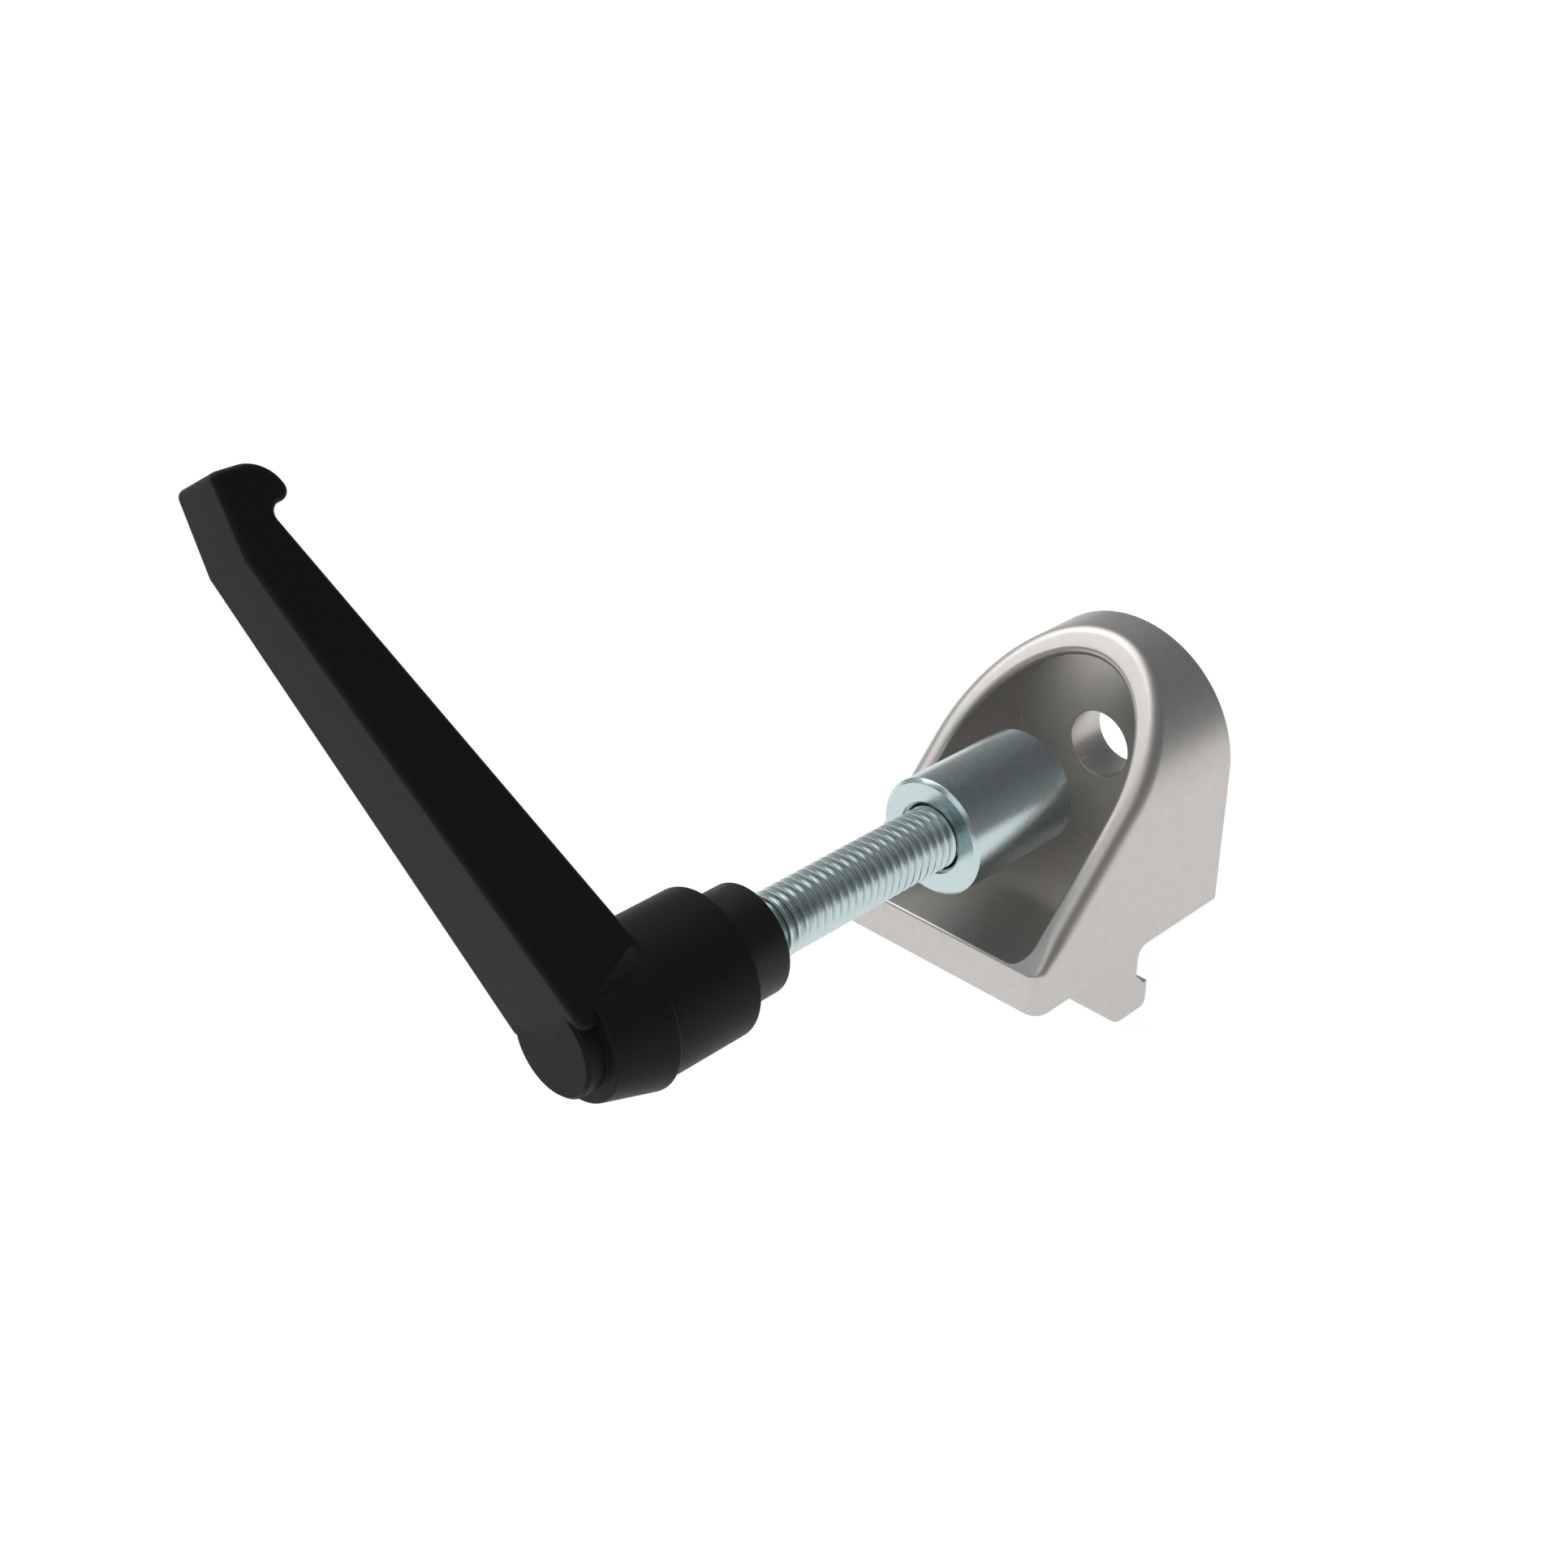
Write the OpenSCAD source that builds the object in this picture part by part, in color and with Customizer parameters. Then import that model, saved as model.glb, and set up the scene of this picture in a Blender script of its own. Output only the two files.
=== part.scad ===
// Clamping angle bracket: a hood-shaped die-cast angle, a spacer sleeve and an adjustable clamping lever.
// The origin is the stud axis at the bracket's back face, +Y points out of that face and +Z is up.

/* [Bracket] */
// Width of the bracket, which is also the diameter of its arch
bracket_w = 32; // [30:0.5:44]
// Height of the stud axis above the front pad
seat_h = 19.7; // [18.5:0.1:26]
// Length of the base from the back face to the front edge
base_len = 36.4; // [34:0.2:48]
// Thickness of the back wall
back_wall = 6.1; // [4.5:0.1:8]
// Thickness of the arch and of the side walls
side_wall = 3.2; // [2.5:0.1:4]
// Thickness of the floor over the front pad
floor_t = 5.7; // [4.5:0.1:7]
// Length of the arch's crown, from the back face to the slanted rim
crown_len = 6.3; // [4.5:0.1:9]
// How far the base behind the lug stands back from the front pad
pad_relief = 0.7; // [0.4:0.1:1.2]
// Radius of the two upright front corners
corner_r = 2; // [1:0.1:3]
// Radius of the fillets between the cavity's floor and its side walls
cavity_r = 2; // [1:0.1:3]

/* [Hook lug] */
// Distance from the back face to the lug's rear side
lug_setback = 16.2; // [14:0.2:19]
// Thickness of the lug's leg
lug_t = 5; // [4:0.1:6]
// Depth of the lug below the front pad
lug_depth = 9.1; // [8:0.1:11]
// How far the nib reaches behind the leg
nib_reach = 2.4; // [1.6:0.1:3]
// Flat land on top of the nib, before its slope
nib_land = 0.8; // [0.4:0.1:1.2]
// Thickness of the slot lip that the nib hooks under
slot_lip = 5.2; // [4.5:0.1:6]
// Radius of the leg's lower front edge
leg_r = 2.4; // [1.5:0.1:3]
// Radius of the nib's lower edge
nib_r = 1; // [0.5:0.1:1.4]
// Fillet between the leg and the base behind it
leg_fillet = 1.6; // [0.8:0.1:2.2]
// Fillet between the leg and the front pad
pad_fillet = 0.5; // [0.3:0.1:1]

/* [Sleeve] */
// Outside diameter of the spacer sleeve
sleeve_d = 15; // [13:0.5:18]
// Length of the spacer sleeve
sleeve_len = 18; // [12:0.5:24]
// Chamfer on both ends of the sleeve, outside
sleeve_chamfer = 0.75; // [0.3:0.05:1.2]
// Countersink on both ends of the sleeve's bore
sleeve_countersink = 0.4; // [0.2:0.1:0.8]

/* [Stud] */
// Thread diameter of the stud
stud_d = 8; // [6:0.5:8.5]
// Free length of the stud below the collar
stud_reach = 35; // [25:1:50]
// Length of the stud that is held in the insert
stud_grip = 14; // [8:0.5:15]
// Chamfer on the stud's free end
stud_chamfer = 0.75; // [0.5:0.05:1.5]
// Pitch of the thread, which is drawn as rings without lead
thread_pitch = 1.25; // [1:0.05:1.5]
// Depth of the thread
thread_depth = 0.65; // [0.4:0.05:0.7]
// Play of the stud in the bracket's hole, on diameter
hole_play = 1; // [0.4:0.1:2]
// Play of the stud in the sleeve's bore, on diameter
sleeve_play = 0.5; // [0.4:0.1:1.5]

/* [Lever hub] */
// Diameter of the insert's collar and shank
collar_d = 13.5; // [12:0.1:14]
// Height of the collar that shows below the hub
collar_h = 6.65; // [4:0.05:9]
// Diameter of the hub at its mouth
hub_d = 18; // [17.5:0.1:19]
// Height of the hub from its mouth to the ridge
hub_h = 11.9; // [11:0.1:14]
// Diameter of the ridge round the hub
ridge_d = 19.4; // [19.1:0.1:21]
// Diameter of the hub's cone at its top
cone_d = 15.2; // [14:0.1:17]
// Height of the hub's cone
cone_h = 7.3; // [5:0.1:9]
// Diameter of the boss on top of the hub
boss_d = 12.1; // [10:0.1:13]
// Height of the boss above the cone
boss_h = 2.5; // [1.5:0.1:4]
// Chamfer round the boss
boss_chamfer = 0.4; // [0.2:0.05:0.8]
// Wall of the hub round its bore
hub_wall = 1; // [0.8:0.1:1.2]

/* [Lever mechanism] */
// Teeth round the coupling between handle and insert
teeth = 24; // [16:1:30]
// Depth of the teeth
tooth_depth = 0.65; // [0.4:0.05:0.8]
// Length of the teeth along the axis
tooth_len = 3.9; // [3:0.1:4.2]
// Thickness of the retaining ring
ring_t = 1.8; // [1:0.1:2.2]
// Wire diameter of the lift spring
wire_d = 0.8; // [0.5:0.05:0.9]
// Turns of the lift spring
spring_turns = 3; // [2:0.5:4]
// Running clearance between turned pieces that slide on each other, on radius
running_gap = 0.1; // [0.05:0.01:0.15]
// Gap between pieces that are pressed or bonded together
seat_gap = 0.02; // [0.01:0.01:0.05]

/* [Lever arm] */
// Direction of the arm at rest, counted from +X towards +Z
arm_angle = 120; // [0:5:355]
// Length of the arm from the stud axis to its tip
arm_len = 65.1; // [55:0.1:80]
// Width of the arm at the stud axis
arm_root_w = 13.8; // [12:0.1:15]
// Width of the arm at its tip
arm_tip_w = 8.7; // [6:0.1:12]
// Thickness of the arm at its foot
arm_root_t = 12.7; // [10.5:0.1:14]
// Where the arm's foot ends, from the stud axis
foot_end = 1.1; // [0.5:0.05:2.5]
// Radius of the foot's front edge
foot_r = 1; // [0.5:0.1:1.5]
// Where the arm's front face comes out of the boss
rise_start = 2.9; // [2:0.1:5]
// How far the flat of the tip stands above the boss
tip_rise = 13.2; // [9:0.1:18]
// Length of the flat at the tip
tip_len = 8.9; // [7:0.1:12]
// Radius of the rounded end under the tip
nose_r = 4.1; // [3:0.1:5]
// How far the middle of that round lies below the tip's flat
nose_drop = 3.1; // [2:0.1:4]
// Radius of the hook's lip and of its throat
lip_r = 1.15; // [0.8:0.05:1.4]
// Direction of the hook's lip, seen from the middle of the round end
lip_angle = 284; // [270:1:300]

/* [Rest pose] */
// Gap between the back wall and the sleeve, as laid out for fitting
sleeve_gap = 14.6; // [0.5:0.1:16]
// How far the stud's tip has entered the sleeve
stud_entry = 5; // [3:0.5:8]

/* [Hidden] */
$fn = 96;

// Overshoot of a cut past the face that it opens
cut = 1;
// Slope of the flanks of a metric thread
flank_angle = 30;

arch_r = bracket_w / 2;
inner_r = arch_r - side_wall;
floor_z = floor_t - seat_h;
base_z = pad_relief - seat_h;
lug_z = -seat_h - lug_depth;
nib_z = -seat_h - slot_lip;
leg_front = -lug_setback - lug_t;
nib_back = nib_reach - lug_setback;
hole_d = stud_d + hole_play;
sleeve_bore = stud_d + sleeve_play;

// Heights along the stud axis, counted from the back face towards the lever
sleeve_w = back_wall + sleeve_gap;
stud_tip_w = sleeve_w + sleeve_len - stud_entry;
collar_w = stud_tip_w + stud_reach;
mouth_w = collar_w + collar_h;
ridge_w = mouth_w + hub_h;
cone_top_w = ridge_w + cone_h;
boss_w = cone_top_w + boss_h;
tip_w = boss_w + tip_rise;

// The bore of the hub, from its mouth: ring, spring, then the teeth up to the bore's end
bore_r = hub_d / 2 - hub_wall;
shank_r = collar_d / 2;
ring_top_w = mouth_w + ring_t;
bore_end_w = ridge_w + tooth_len / 4;
groove_r = bore_r - running_gap;
head_top_w = bore_end_w - running_gap;
head_w = head_top_w - tooth_len;
spring_r = (shank_r + bore_r) / 2;

// The arm seen from the side: u runs along the arm, w along the stud axis
round_mid = [arm_len - nose_r, tip_w - nose_drop];
lip_mid = round_mid + (nose_r - lip_r) * [cos(lip_angle), sin(lip_angle)];
throat_mid = lip_mid - [2 * lip_r, 0];
front_angle = atan2(tip_rise, arm_len - tip_len - rise_start);
foot_mid = [foot_end + foot_r,
            boss_w + (foot_end + foot_r - rise_start) * tan(front_angle) - foot_r / cos(front_angle)];
foot_back = [foot_end, boss_w - arm_root_t];
throat_dir = throat_mid - foot_back;
back_angle = atan2(throat_dir.y, throat_dir.x) + asin(lip_r / norm(throat_dir));

// Puts a shape that is drawn upright, with its height along the stud axis, into the part's frame
module on_stud_axis() {
    rotate([90, 0, 0]) children();
}

// Carries a side view, drawn in Y and Z, across the bracket's width
module across_width() {
    rotate([90, 0, 90]) linear_extrude(bracket_w, center = true) children();
}

module arch(radius, depth) {
    circle(radius);
    translate([-radius, -depth]) square([2 * radius, depth]);
}

// What a round leaves over in the corner of two lines that it touches, with the corner at the origin
module round_corner(radius) {
    difference() {
        square(radius);
        translate([radius, radius]) circle(radius);
    }
}

module hood_side() {
    polygon([[0, -seat_h], [-base_len, -seat_h], [-base_len, floor_z], [-crown_len, arch_r], [0, arch_r]]);
}

module hood_plan() {
    translate([-arch_r, corner_r - base_len]) square([bracket_w, base_len - corner_r]);
    translate([corner_r - arch_r, -base_len]) square([bracket_w - 2 * corner_r, 2 * corner_r]);
    for (side = [-1, 1]) translate([side * (arch_r - corner_r), corner_r - base_len]) circle(corner_r);
}

module hood() {
    intersection() {
        on_stud_axis() linear_extrude(base_len) arch(arch_r, seat_h);
        across_width() hood_side();
        translate([0, 0, -seat_h]) linear_extrude(seat_h + arch_r) hood_plan();
    }
}

// Outline of the cavity: the arch with straight sides, and the floor between its two fillets
module cavity_outline() {
    circle(inner_r);
    translate([-inner_r, floor_z + cavity_r]) square([2 * inner_r, -floor_z - cavity_r]);
    translate([cavity_r - inner_r, floor_z]) square([2 * (inner_r - cavity_r), 2 * cavity_r]);
    for (side = [-1, 1]) translate([side * (inner_r - cavity_r), floor_z + cavity_r]) circle(cavity_r);
}

module cavity() {
    on_stud_axis() translate([0, 0, back_wall]) linear_extrude(base_len - back_wall + cut) cavity_outline();
}

// Side view of the hook lug: leg, nib and the fillets that run into the base
module lug_side() {
    difference() {
        translate([leg_front, lug_z]) square([lug_t, base_z - lug_z + side_wall]);
        translate([leg_front, lug_z]) round_corner(leg_r);
    }
    polygon([[-lug_setback, lug_z], [nib_back - nib_r, lug_z], [nib_back, lug_z + nib_r], [nib_back, nib_z],
             [nib_back - nib_land, nib_z], [-lug_setback, nib_z + nib_reach - nib_land]]);
    translate([nib_back - nib_r, lug_z + nib_r]) circle(nib_r);
    translate([-lug_setback, base_z]) mirror([0, 1]) round_corner(leg_fillet);
    translate([leg_front, -seat_h]) mirror([1, 0]) mirror([0, 1]) round_corner(pad_fillet);
}

module base_relief() {
    translate([-lug_setback, -seat_h - cut]) square([lug_setback + cut, pad_relief + cut]);
}

module bracket() {
    color([0.76, 0.75, 0.74]) difference() {
        union() {
            difference() {
                hood();
                cavity();
                across_width() base_relief();
            }
            across_width() lug_side();
        }
        on_stud_axis() translate([0, 0, -cut]) cylinder(h = back_wall + 2 * cut, d = hole_d);
    }
}

module spacer_sleeve() {
    outer = sleeve_d / 2;
    bore = sleeve_bore / 2;
    mouth = bore + sleeve_countersink;
    color([0.72, 0.78, 0.79]) on_stud_axis() translate([0, 0, sleeve_w]) rotate_extrude() polygon([
        [mouth, 0], [outer - sleeve_chamfer, 0], [outer, sleeve_chamfer],
        [outer, sleeve_len - sleeve_chamfer], [outer - sleeve_chamfer, sleeve_len],
        [mouth, sleeve_len], [bore, sleeve_len - sleeve_countersink], [bore, sleeve_countersink]
    ]);
}

// Stud with a ring for each turn of its thread, from the chamfered end up to the collar
module threaded_stud() {
    crest_r = stud_d / 2;
    root_r = crest_r - thread_depth;
    flank = thread_depth * tan(flank_angle);
    land = thread_pitch / 2 - flank;
    rings = floor((stud_reach - stud_chamfer) / thread_pitch);
    top = stud_reach + stud_grip - seat_gap;
    ring = [[crest_r, 0], [crest_r, land], [root_r, land + flank], [root_r, 2 * land + flank]];
    color([0.72, 0.78, 0.79]) on_stud_axis() translate([0, 0, stud_tip_w]) rotate_extrude() polygon(concat(
        [[0, 0], [crest_r - stud_chamfer, 0]],
        [for (k = [0 : rings - 1], point = ring) point + [0, stud_chamfer + k * thread_pitch]],
        [[crest_r, stud_chamfer + rings * thread_pitch], [crest_r, top], [0, top]]
    ));
}

// Ring of pointed teeth round a core, with their tips at tip_r
module toothed_disc(tip_r) {
    root_r = tip_r - tooth_depth;
    half_pitch = 180 / teeth;
    polygon([for (k = [0 : 2 * teeth - 1])
        (k % 2 == 0 ? tip_r : root_r) * [cos(k * half_pitch), sin(k * half_pitch)]]);
}

module toothed_insert() {
    color([0.12, 0.12, 0.12]) on_stud_axis() difference() {
        union() {
            translate([0, 0, collar_w]) cylinder(h = head_top_w - collar_w, r = shank_r);
            translate([0, 0, head_w]) linear_extrude(tooth_len) toothed_disc(groove_r - running_gap);
        }
        translate([0, 0, collar_w - cut]) cylinder(h = stud_grip + cut, r = stud_d / 2 + seat_gap);
    }
}

// Round wire carried along a helix: rings of points joined by quads, with flat ends
module lift_spring() {
    sides = 10;
    steps = 20 * spring_turns;
    low = ring_top_w + wire_d / 2 + seat_gap;
    rise = head_w - seat_gap - wire_d / 2 - low;
    function wire_point(step, side) =
        let (turn = 360 * spring_turns * step / steps,
             around = 360 * side / sides,
             radius = spring_r + wire_d / 2 * cos(around))
        [radius * cos(turn), radius * sin(turn), low + rise * step / steps + wire_d / 2 * sin(around)];
    points = [for (step = [0 : steps], side = [0 : sides - 1]) wire_point(step, side)];
    walls = [for (step = [0 : steps - 1], side = [0 : sides - 1])
        let (next = (side + 1) % sides, here = step * sides, there = here + sides)
        [here + side, there + side, there + next, here + next]];
    first_end = [for (side = [0 : sides - 1]) side];
    last_end = [for (side = [sides - 1 : -1 : 0]) steps * sides + side];
    color([0.6, 0.6, 0.62]) on_stud_axis() polyhedron(points, concat([first_end], walls, [last_end]));
}

module retaining_ring() {
    color([0.12, 0.12, 0.12]) on_stud_axis() translate([0, 0, mouth_w]) difference() {
        cylinder(h = ring_t, r = bore_r - seat_gap);
        translate([0, 0, -cut]) cylinder(h = ring_t + 2 * cut, r = shank_r + running_gap);
    }
}

module hub() {
    cone_r = cone_d / 2;
    boss_r = boss_d / 2;
    rotate_extrude() polygon([
        [0, mouth_w], [hub_d / 2, mouth_w], [hub_d / 2, ridge_w], [ridge_d / 2, ridge_w], [cone_r, cone_top_w],
        [boss_r, cone_top_w], [boss_r, boss_w - boss_chamfer], [boss_r - boss_chamfer, boss_w], [0, boss_w]
    ]);
}

// Points along an arc, with a point about every 10 degrees
function arc(mid, radius, from, to) =
    let (steps = ceil(abs(to - from) / 10))
    [for (k = [0 : steps]) mid + radius * [cos(from + (to - from) * k / steps), sin(from + (to - from) * k / steps)]];

// Side view of the arm: foot, front face and tip, then round the end, the hook's lip and its throat to the back
module arm_side() {
    polygon(concat(
        arc(foot_mid, foot_r, 180, 90 + front_angle),
        [[arm_len - tip_len, tip_w], [arm_len, tip_w]],
        arc(round_mid, nose_r, 360, lip_angle),
        arc(lip_mid, lip_r, lip_angle - 10, 180),
        arc(throat_mid, lip_r, 10, 90 + back_angle),
        [foot_back]
    ));
}

module arm_plan() {
    polygon([[0, -arm_root_w / 2], [arm_len, -arm_tip_w / 2], [arm_len, arm_tip_w / 2], [0, arm_root_w / 2]]);
}

module arm() {
    rotate([0, 0, arm_angle]) intersection() {
        rotate([90, 0, 0]) linear_extrude(2 * arm_root_w, center = true) arm_side();
        linear_extrude(tip_w + cut) arm_plan();
    }
}

module lever_handle() {
    color([0.1, 0.1, 0.1]) on_stud_axis() difference() {
        union() {
            hub();
            arm();
        }
        translate([0, 0, mouth_w - cut]) cylinder(h = bore_end_w - tooth_len - mouth_w + cut, r = bore_r);
        translate([0, 0, bore_end_w - tooth_len - cut]) linear_extrude(tooth_len + cut) toothed_disc(groove_r);
    }
}

bracket();
spacer_sleeve();
threaded_stud();
toothed_insert();
lift_spring();
retaining_ring();
lever_handle();
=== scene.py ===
import bmesh
import bpy
import numpy as np
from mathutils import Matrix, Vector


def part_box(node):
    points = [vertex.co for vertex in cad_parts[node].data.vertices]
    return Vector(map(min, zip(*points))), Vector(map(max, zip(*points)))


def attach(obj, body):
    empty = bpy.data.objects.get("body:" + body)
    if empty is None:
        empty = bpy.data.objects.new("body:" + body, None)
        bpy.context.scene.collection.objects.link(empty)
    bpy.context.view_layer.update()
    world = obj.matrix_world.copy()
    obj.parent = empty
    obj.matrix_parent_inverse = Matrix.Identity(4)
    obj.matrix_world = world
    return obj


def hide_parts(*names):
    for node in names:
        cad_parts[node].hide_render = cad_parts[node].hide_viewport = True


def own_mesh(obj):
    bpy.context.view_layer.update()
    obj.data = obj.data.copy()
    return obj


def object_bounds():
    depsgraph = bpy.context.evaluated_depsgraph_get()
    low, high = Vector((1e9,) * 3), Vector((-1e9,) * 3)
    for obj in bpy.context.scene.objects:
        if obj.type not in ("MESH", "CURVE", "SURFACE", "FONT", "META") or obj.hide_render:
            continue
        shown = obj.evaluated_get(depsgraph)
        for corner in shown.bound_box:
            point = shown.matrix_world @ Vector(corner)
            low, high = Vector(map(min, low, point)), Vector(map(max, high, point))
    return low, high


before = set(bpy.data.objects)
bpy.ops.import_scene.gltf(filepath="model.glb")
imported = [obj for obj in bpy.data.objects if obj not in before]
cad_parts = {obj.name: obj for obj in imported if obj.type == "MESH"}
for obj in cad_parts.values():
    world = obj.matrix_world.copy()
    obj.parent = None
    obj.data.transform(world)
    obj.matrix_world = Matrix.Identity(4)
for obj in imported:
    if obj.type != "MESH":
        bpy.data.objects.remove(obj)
cad_low, cad_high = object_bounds()

# Camera: stands in front of the bracket on its right, above the lever. It looks down at 30 degrees along the
# diagonal towards the back left, with a normal lens on a square picture.
camera_data = bpy.data.cameras.new("camera")
camera_data.lens = 50
camera_data.sensor_width = 36
camera_data.clip_start = 0.01
camera = bpy.data.objects.new("camera", camera_data)
camera.location = (0.14417, -0.20729, 0.13509)
camera.rotation_euler = np.radians((60, 0, 45))
bpy.context.scene.collection.objects.link(camera)
bpy.context.scene.camera = camera

# Bracket: one zinc die casting, a hood with an arched back wall and two side walls cut off by a slanted rim.
# The hook lug under its base runs across the whole width. It is tumbled after casting, which softens the rim
# and leaves a satin grain, while the back and the lug stay crisp.
mm = 0.001
bracket_low, bracket_high = (np.array(corner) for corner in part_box("bracket"))
half_w = bracket_high[0]
front_y = bracket_low[1]
lug_z = bracket_low[2]
pad_z = -19.7 * mm
base_z = -19.0 * mm
floor_z = -14.0 * mm
side_wall = 3.2 * mm
back_wall = 6.1 * mm
crown_len = 5.95 * mm
corner_r = 2.0 * mm
cavity_r = 2.0 * mm
hole_r = 4.5 * mm
rim_round = 2.1 * mm
corner_round = 1.3 * mm
taper_len = 4.5 * mm
lip_round = 0.75 * mm
front_round = 0.35 * mm
back_round = 0.06 * mm
edge_break = 0.15 * mm
crisp_angle = 40
inner_r = half_w - side_wall

# The rim's plane falls from the crown to the front edge, where one round runs over it on to the floor inside
rim_drop_share = 0.65
rim_drop = rim_drop_share * front_round
rim_foot = floor_z - rim_drop
rim_slope = (half_w - rim_foot) / (-crown_len - front_y)
rim_stretch = np.hypot(1, rim_slope)
rim_normal = np.array([0, -rim_slope, 1]) / rim_stretch

# Steps along each stretch of the rim: the arch, one side, one corner, the front. The last two go across the
# roundings of rim and lip, and across the fillet at the back wall
arch_steps, side_steps, corner_steps, front_steps = 96, 28, 12, 28
round_steps, fillet_steps = 8, 6


def rim_y(z, depth):
    """Y at which the rim's plane, sunk by depth, has the height z."""
    return front_y + (z + depth * rim_stretch - rim_foot) / rim_slope


def rim_z(y, depth):
    """Height of the rim's plane, sunk by depth, at y."""
    return rim_foot + (y - front_y) * rim_slope - depth * rim_stretch


def mirrored_loop(arch, side, corner, front):
    """Closes a loop over the arch, down the left side, round the corner, along the front and up the right.
    The right half is the left half mirrored in X and run backwards."""
    flip = np.array([-1, 1, 1])
    left = [side[1:], corner[1:]]
    right = [(corner * flip)[::-1][1:], (side * flip)[::-1][1:]]
    return np.concatenate([arch, *left, front[1:], *right])


def outer_loop():
    """Middles of a ball that rolls inside the outer walls and the rim's plane, the outward normals of those
    walls and the ball's radius, which shrinks before and round the corners on the way to the front edge."""
    angle = np.linspace(0, np.pi, arch_steps + 1)
    arch_normal = np.stack([np.cos(angle), np.zeros_like(angle), np.sin(angle)], -1)
    side_y = np.linspace(rim_y(0, rim_round), front_y + corner_r, side_steps + 1)
    side = np.stack([np.full_like(side_y, -half_w), side_y, np.zeros_like(side_y)], -1)
    side_normal = np.tile([-1.0, 0, 0], (side_steps + 1, 1))
    turn = np.linspace(np.pi, 1.5 * np.pi, corner_steps + 1)
    corner_normal = np.stack([np.cos(turn), np.sin(turn), np.zeros_like(turn)], -1)
    corner = np.array([corner_r - half_w, front_y + corner_r, 0]) + corner_r * corner_normal
    front_x = np.linspace(corner_r - half_w, half_w - corner_r, front_steps + 1)
    front = np.stack([front_x, np.full_like(front_x, front_y), np.zeros_like(front_x)], -1)
    front_normal = np.tile([0, -1.0, 0], (front_steps + 1, 1))
    normals = mirrored_loop(arch_normal, side_normal, corner_normal, front_normal)
    outline = mirrored_loop(half_w * arch_normal, side, corner, front)
    taper = np.clip((side_y[-1] + taper_len - outline[:, 1]) / taper_len, 0, 1)
    taper = taper * taper * (3 - 2 * taper)
    to_front = np.clip(-normals[:, 1], 0, 1)**2
    radius = rim_round + (corner_round - rim_round) * taper + (front_round - corner_round) * to_front
    middles = outline - radius[:, None] * normals
    arch_end = arch_steps + 1
    middles[:arch_end, 1] = rim_y(middles[:arch_end, 2], radius[:arch_end])
    middles[arch_end:, 2] = rim_z(middles[arch_end:, 1], radius[arch_end:])
    return middles, normals, radius[:, None]


def cavity_loop():
    """Cavity outline in X and Z, with Y left at 0, and the normals that point into the cavity."""
    angle = np.linspace(0, np.pi, arch_steps + 1)
    arch_normal = -np.stack([np.cos(angle), np.zeros_like(angle), np.sin(angle)], -1)
    side_z = np.linspace(0, floor_z + cavity_r, side_steps + 1)
    side = np.stack([np.full_like(side_z, -inner_r), np.zeros_like(side_z), side_z], -1)
    side_normal = np.tile([1.0, 0, 0], (side_steps + 1, 1))
    turn = np.linspace(np.pi, 1.5 * np.pi, corner_steps + 1)
    corner_normal = -np.stack([np.cos(turn), np.zeros_like(turn), np.sin(turn)], -1)
    corner = np.array([cavity_r - inner_r, 0, floor_z + cavity_r]) - cavity_r * corner_normal
    floor_x = np.linspace(cavity_r - inner_r, inner_r - cavity_r, front_steps + 1)
    floor = np.stack([floor_x, np.zeros_like(floor_x), np.full_like(floor_x, floor_z)], -1)
    floor_normal = np.tile([0, 0, 1.0], (front_steps + 1, 1))
    points = mirrored_loop(-inner_r * arch_normal, side, corner, floor)
    normals = mirrored_loop(arch_normal, side_normal, corner_normal, floor_normal)
    return points, normals


def swing(start, end, shares):
    """Unit vectors on the great circle from start to end, at each share of the way: one row per share."""
    angle = np.arccos(np.clip((start * end).sum(-1), -1, 1))[..., None]
    share = shares.reshape((-1,) + (1,) * angle.ndim)
    return (np.sin((1 - share) * angle) * start + np.sin(share * angle) * end) / np.sin(angle)


def grid_quads(rows, columns, first):
    """Quads of a grid whose points are numbered row by row from first."""
    index = first + np.arange(rows * columns).reshape(rows, columns)
    corners = [index[:-1, :-1], index[1:, :-1], index[1:, 1:], index[:-1, 1:]]
    return np.stack(corners, -1).reshape(-1, 4).tolist()


def make_piece(name, grids, outlines=()):
    """Mesh object from grids of points and flat outlines, welded where they meet, with its faces outwards."""
    points = []
    faces = []
    count = 0
    for grid in grids:
        faces += grid_quads(grid.shape[0], grid.shape[1], count)
        points.append(grid.reshape(-1, 3))
        count += len(points[-1])
    for outline in outlines:
        faces.append(list(range(count, count + len(outline))))
        points.append(outline)
        count += len(outline)
    mesh = bpy.data.meshes.new(name)
    mesh.from_pydata(np.concatenate(points).tolist(), [], faces)
    shell = bmesh.new()
    shell.from_mesh(mesh)
    bmesh.ops.remove_doubles(shell, verts=shell.verts, dist=0.001 * mm)
    bmesh.ops.dissolve_degenerate(shell, edges=shell.edges, dist=0.0005 * mm)
    bmesh.ops.recalc_face_normals(shell, faces=shell.faces)
    shell.to_mesh(mesh)
    shell.free()
    mesh.shade_smooth()
    piece = bpy.data.objects.new(name, mesh)
    bpy.context.scene.collection.objects.link(piece)
    return piece


def crisp_edges(piece, width, angle):
    """Breaks the edges that turn by more than angle with a narrow round, and shades flat faces flat."""
    bevel = piece.modifiers.new("broken edges", "BEVEL")
    bevel.width = width
    bevel.segments = 2
    bevel.limit_method = "ANGLE"
    bevel.angle_limit = np.radians(angle)
    bevel.use_clamp_overlap = False
    piece.modifiers.new("flat faces", "WEIGHTED_NORMAL")


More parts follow.
